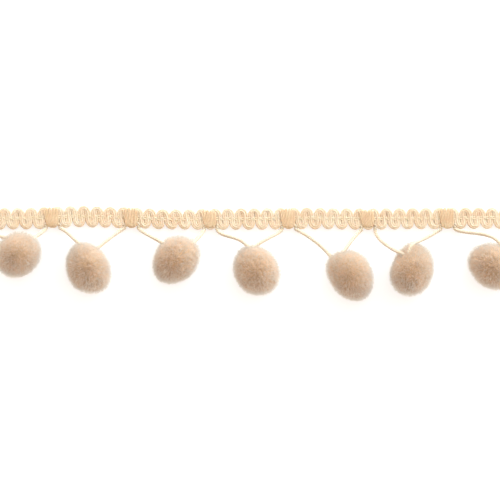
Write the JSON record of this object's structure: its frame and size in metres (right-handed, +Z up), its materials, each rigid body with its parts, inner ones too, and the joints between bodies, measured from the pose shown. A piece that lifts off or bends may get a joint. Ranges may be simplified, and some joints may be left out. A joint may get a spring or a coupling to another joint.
{
  "type": "pompom fringe trim",
  "caption": "Narrow looped gimp heading edged with small round cut-yarn pompoms, each hung on a pair of tie threads, laid flat.",
  "frame": {"origin": "on the surface that the trim lies on, under the middle of its bounding box", "axes": "+X along the trim, +Y from the pompoms towards the heading, +Z up out of the face"},
  "size_m": [0.1611, 0.0255, 0.0114],
  "materials": {
    "gimp": "soft cream gimp cord with a slight sheen",
    "pile": "matt brushed beige cut pile, paler at the tips",
    "thread": "matt cream twisted yarn"
  },
  "bodies": {
    "root": {"gimp_heading": "gimp", "pompom_1": "pile", "pompom_2": "pile", "pompom_3": "pile", "pompom_4": "pile", "pompom_5": "pile", "pompom_6": "pile", "pompom_7": "pile", "tie_thread_1_left": "thread", "tie_thread_1_right": "thread", "tie_thread_2_left": "thread", "tie_thread_2_right": "thread", "tie_thread_3_left": "thread", "tie_thread_3_right": "thread", "tie_thread_4_left": "thread", "tie_thread_4_right": "thread", "tie_thread_5_left": "thread", "tie_thread_5_right": "thread", "tie_thread_6_left": "thread", "tie_thread_6_right": "thread", "tie_thread_7_left": "thread", "tie_thread_7_right": "thread"}
  },
  "joints": []
}
